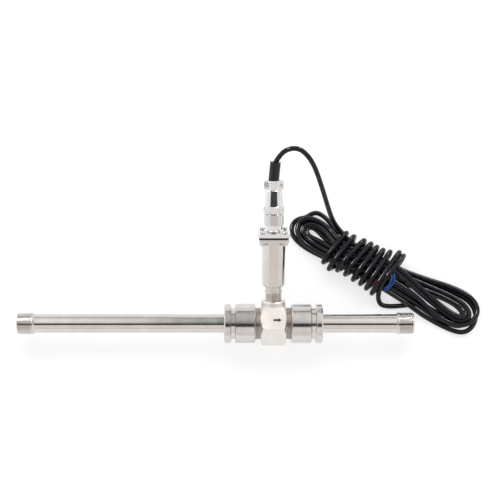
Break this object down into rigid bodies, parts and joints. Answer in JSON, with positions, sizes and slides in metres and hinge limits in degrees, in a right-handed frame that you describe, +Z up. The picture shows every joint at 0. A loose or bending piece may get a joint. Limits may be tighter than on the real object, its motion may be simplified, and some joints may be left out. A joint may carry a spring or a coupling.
{
  "type": "inline turbine flow meter",
  "caption": "stainless turbine flow meter between threaded pipe runs, with union nuts, a pickup stem, a plugged connector and its cable wound in a hank",
  "frame": {"origin": "centre of the inlet end face, on the flow axis", "axes": "+X is the direction of flow and the longest extent; +Z is up as the meter lies on one flat of its hexagon; the pickup stem leans away along +Y, 30 degrees above the ground"},
  "size_m": [0.4463, 0.1685, 0.1104],
  "materials": {
    "turned_steel": "fine turned stainless steel",
    "pipe_steel": "polished stainless tube",
    "nut_steel": "fine turned stainless steel",
    "rotor_steel": "magnetic stainless steel",
    "spring_steel": "spring steel",
    "shaft_carbide": "ground hard metal",
    "seal_white": "plain white seal plastic",
    "magnet_nickel": "nickel plated magnet",
    "coil_copper": "enamelled copper winding",
    "housing_steel": "satin stainless steel",
    "board_green": "circuit board",
    "gasket_black": "black rubber sheet",
    "connector_chrome": "bright plated die casting",
    "ring_nickel": "satin nickel plating",
    "insulator_black": "moulded insulator",
    "contact_brass": "gold flashed brass",
    "screw_steel": "plated screws",
    "shrink_black": "satin shrink sleeve",
    "cable_black": "glossy cable jacket"
  },
  "bodies": {
    "meter": {"meter_body": "turned_steel", "inlet_pipe": "pipe_steel", "outlet_pipe": "pipe_steel", "inlet_collar": "turned_steel", "outlet_collar": "turned_steel", "inlet_union_sleeve": "turned_steel", "outlet_union_sleeve": "turned_steel", "inlet_seal_ring": "seal_white", "outlet_seal_ring": "seal_white", "inlet_flow_straightener": "turned_steel", "outlet_flow_straightener": "turned_steel", "inlet_bearing": "shaft_carbide", "outlet_bearing": "shaft_carbide", "inlet_retaining_ring": "spring_steel", "outlet_retaining_ring": "spring_steel", "pickup_stem": "turned_steel", "pickup_magnet": "magnet_nickel", "pickup_coil": "coil_copper", "amplifier_housing": "housing_steel", "amplifier_board": "board_green", "head_gasket": "gasket_black", "receptacle_shell": "connector_chrome", "receptacle_insert": "insulator_black", "contact_pins": "contact_brass", "flange_screws": "screw_steel", "flange_nuts": "screw_steel", "plug_shell": "ring_nickel", "plug_insert": "insulator_black", "backshell": "connector_chrome", "clamp_strap": "connector_chrome", "clamp_screws": "screw_steel", "strain_sleeve": "shrink_black", "cable_lead": "cable_black", "cable_hank": "cable_black"},
    "turbine": {"rotor": "rotor_steel", "rotor_shaft": "shaft_carbide"},
    "inlet_nut": {"inlet_union_nut": "nut_steel"},
    "outlet_nut": {"outlet_union_nut": "nut_steel"},
    "plug_ring": {"coupling_ring": "ring_nickel"}
  },
  "joints": [
    {"name": "rotor_spin", "type": "hinge", "parent": "meter", "child": "turbine", "pos_m": [0.2454, 0, 0], "axis": [1, 0, 0], "continuous": true},
    {"name": "inlet_nut_turn", "type": "hinge", "parent": "meter", "child": "inlet_nut", "pos_m": [0.21855, 0, 0], "axis": [1, 0, 0], "continuous": true},
    {"name": "outlet_nut_turn", "type": "hinge", "parent": "meter", "child": "outlet_nut", "pos_m": [0.27225, 0, 0], "axis": [1, 0, 0], "continuous": true},
    {"name": "coupling_ring_turn", "type": "hinge", "parent": "meter", "child": "plug_ring", "pos_m": [0.2454, 0.08825, 0.05095], "axis": [0, 0.866, 0.5], "continuous": true}
  ]
}
